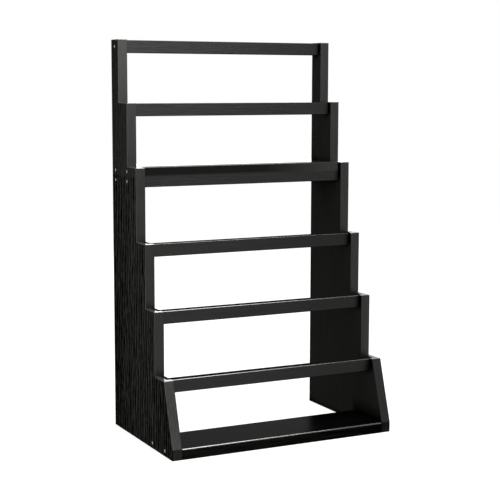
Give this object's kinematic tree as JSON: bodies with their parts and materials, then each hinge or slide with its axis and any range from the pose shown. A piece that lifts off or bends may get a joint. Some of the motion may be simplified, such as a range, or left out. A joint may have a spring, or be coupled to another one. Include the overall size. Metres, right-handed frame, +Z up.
{
  "type": "tiered postcard rack",
  "caption": "Free-standing black wooden counter rack for postcards: stacked modules of stepped side panels with cross rails and boards that carry cards in rising tiers.",
  "frame": {"origin": "under the middle of the rack's outer box, on the floor", "axes": "+Z up, -Y to the front where the steps are, +X to the right as seen from the front"},
  "size_m": [0.4, 0.25, 0.6568],
  "materials": {
    "black_wood": "black stained open grain faces with smooth satin edges",
    "zinc_screw": "yellow zinc plated",
    "beech": "plain turned beech"
  },
  "bodies": {
    "root": {"lower_left_side": "black_wood", "lower_right_side": "black_wood", "upper_left_side": "black_wood", "upper_right_side": "black_wood", "bottom_board": "black_wood", "lower_head_board": "black_wood", "upper_base_board": "black_wood", "rail_tier_1": "black_wood", "rail_tier_2": "black_wood", "rail_tier_4": "black_wood", "rail_tier_5": "black_wood", "rail_tier_6": "black_wood", "screw_top_rail_left": "zinc_screw", "screw_top_rail_right": "zinc_screw", "screw_bottom_board_left_rear": "zinc_screw", "screw_bottom_board_left_front": "zinc_screw", "screw_bottom_board_right_rear": "zinc_screw", "screw_bottom_board_right_front": "zinc_screw", "screw_lower_head_board_left_rear": "zinc_screw", "screw_lower_head_board_left_front": "zinc_screw", "screw_lower_head_board_right_rear": "zinc_screw", "screw_lower_head_board_right_front": "zinc_screw", "screw_upper_base_board_left_rear": "zinc_screw", "screw_upper_base_board_left_front": "zinc_screw", "screw_upper_base_board_right_rear": "zinc_screw", "screw_upper_base_board_right_front": "zinc_screw", "joining_screw_left_rear": "zinc_screw", "joining_screw_left_front": "zinc_screw", "joining_screw_right_rear": "zinc_screw", "joining_screw_right_front": "zinc_screw", "dowel_tier_2_left_lower": "beech", "dowel_tier_2_left_upper": "beech", "dowel_tier_2_right_lower": "beech", "dowel_tier_2_right_upper": "beech", "dowel_tier_4_left_lower": "beech", "dowel_tier_4_left_upper": "beech", "dowel_tier_4_right_lower": "beech", "dowel_tier_4_right_upper": "beech", "dowel_tier_5_left_lower": "beech", "dowel_tier_5_left_upper": "beech", "dowel_tier_5_right_lower": "beech", "dowel_tier_5_right_upper": "beech", "dowel_tier_6_left_lower": "beech", "dowel_tier_6_left_upper": "beech", "dowel_tier_6_right_lower": "beech", "dowel_tier_6_right_upper": "beech"}
  },
  "joints": []
}
